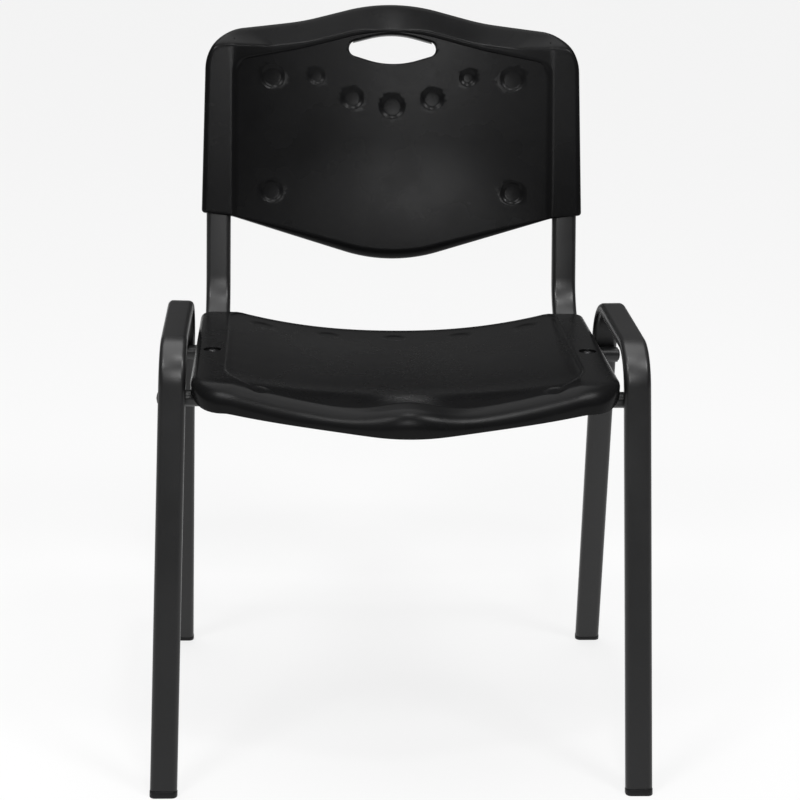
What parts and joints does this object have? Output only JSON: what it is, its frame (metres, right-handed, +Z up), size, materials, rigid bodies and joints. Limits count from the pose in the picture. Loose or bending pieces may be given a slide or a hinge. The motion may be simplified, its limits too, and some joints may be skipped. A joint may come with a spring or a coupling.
{
  "type": "stacking conference chair",
  "caption": "Armless stacking chair: arched flat oval tube leg frames, cross tubes, bent back rails, moulded plastic seat and back with a hand hole.",
  "frame": {"origin": "middle of the chair's box in plan, on the floor", "axes": "+Z up, the chair faces -Y, +X to the viewer's right when the chair is seen from the front"},
  "size_m": [0.5608, 0.5778, 0.8103],
  "materials": {
    "frame_steel": "satin black powder coat",
    "shell_plastic": "black polypropylene with a fine moulded grain",
    "plug_plastic": "plain black moulded plastic",
    "screw_steel": "black oxide"
  },
  "bodies": {
    "root": {"left_leg_frame": "frame_steel", "right_leg_frame": "frame_steel", "left_back_rail": "frame_steel", "right_back_rail": "frame_steel", "front_cross_tube": "frame_steel", "rear_cross_tube": "frame_steel", "front_left_foot_glide": "plug_plastic", "front_right_foot_glide": "plug_plastic", "rear_left_foot_glide": "plug_plastic", "rear_right_foot_glide": "plug_plastic", "front_left_cross_plug": "plug_plastic", "front_right_cross_plug": "plug_plastic", "rear_left_cross_plug": "plug_plastic", "rear_right_cross_plug": "plug_plastic", "left_rail_plug": "plug_plastic", "right_rail_plug": "plug_plastic", "seat_shell": "shell_plastic", "back_shell": "shell_plastic", "left_seat_screw": "screw_steel", "right_seat_screw": "screw_steel", "left_cross_screw": "screw_steel", "right_cross_screw": "screw_steel", "left_back_screw": "screw_steel", "right_back_screw": "screw_steel"}
  },
  "joints": []
}
